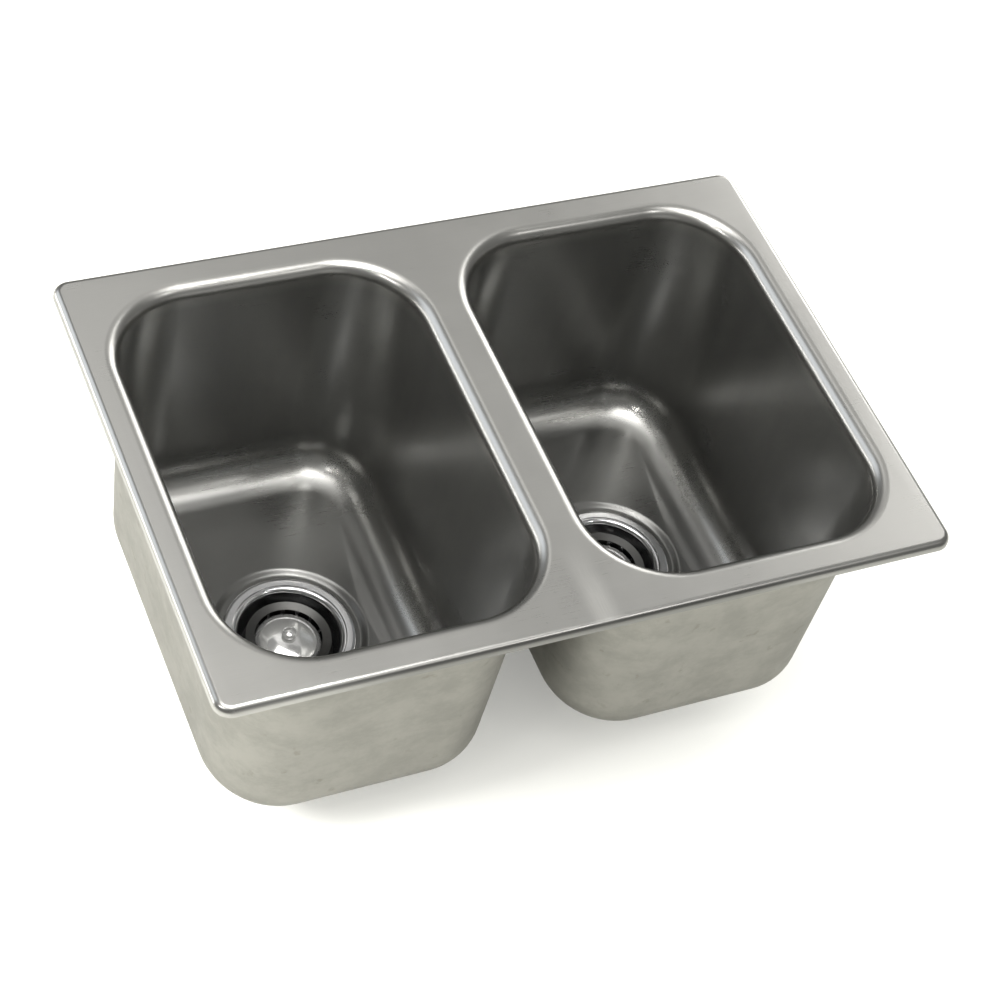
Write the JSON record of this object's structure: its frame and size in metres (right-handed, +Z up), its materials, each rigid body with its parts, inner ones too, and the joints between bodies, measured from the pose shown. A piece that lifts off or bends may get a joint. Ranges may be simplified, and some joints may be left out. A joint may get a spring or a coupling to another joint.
{
  "type": "double bowl kitchen sink",
  "caption": "Drop-in stainless sink with deep rounded bowls side by side under one flat flange with a rolled edge, each with a lift-out basket strainer drain.",
  "frame": {"origin": "on the standing plane, under the middle of the sink", "axes": "+X along the long side of the flange towards the right bowl, +Y to the back, +Z up"},
  "size_m": [0.612, 0.424, 0.2928],
  "materials": {
    "satin_steel": "satin, drawn and lightly brushed, with wear marks",
    "ground_weld": "weld ground across the flange",
    "polished_steel": "polished",
    "plated_steel": "bright, lightly worn",
    "zinc_alloy": "die cast, dull",
    "black_rubber": "matt",
    "fibre": "matt pressed fibre"
  },
  "bodies": {
    "sink": {"left_flange": "satin_steel", "right_flange": "satin_steel", "left_bowl": "satin_steel", "right_bowl": "satin_steel", "centre_weld": "ground_weld", "left_strainer_body": "polished_steel", "left_flange_seal": "black_rubber", "left_floor_gasket": "black_rubber", "left_friction_washer": "fibre", "left_locknut": "zinc_alloy", "left_outlet_crossbar": "plated_steel", "left_slip_washer": "black_rubber", "left_coupling_nut": "zinc_alloy", "right_strainer_body": "polished_steel", "right_flange_seal": "black_rubber", "right_floor_gasket": "black_rubber", "right_friction_washer": "fibre", "right_locknut": "zinc_alloy", "right_outlet_crossbar": "plated_steel", "right_slip_washer": "black_rubber", "right_coupling_nut": "zinc_alloy"},
    "left_basket": {"left_basket_cup": "plated_steel", "left_basket_dome": "polished_steel", "left_basket_knob": "polished_steel", "left_basket_post": "plated_steel", "left_stopper_seal": "black_rubber", "left_post_nut": "plated_steel"},
    "right_basket": {"right_basket_cup": "plated_steel", "right_basket_dome": "polished_steel", "right_basket_knob": "polished_steel", "right_basket_post": "plated_steel", "right_stopper_seal": "black_rubber", "right_post_nut": "plated_steel"}
  },
  "joints": [
    {"name": "left_basket_lift", "type": "slide", "parent": "sink", "child": "left_basket", "axis": [0, 0, 1], "range_m": [0, 0.06]},
    {"name": "right_basket_lift", "type": "slide", "parent": "sink", "child": "right_basket", "axis": [0, 0, 1], "range_m": [0, 0.06]}
  ]
}
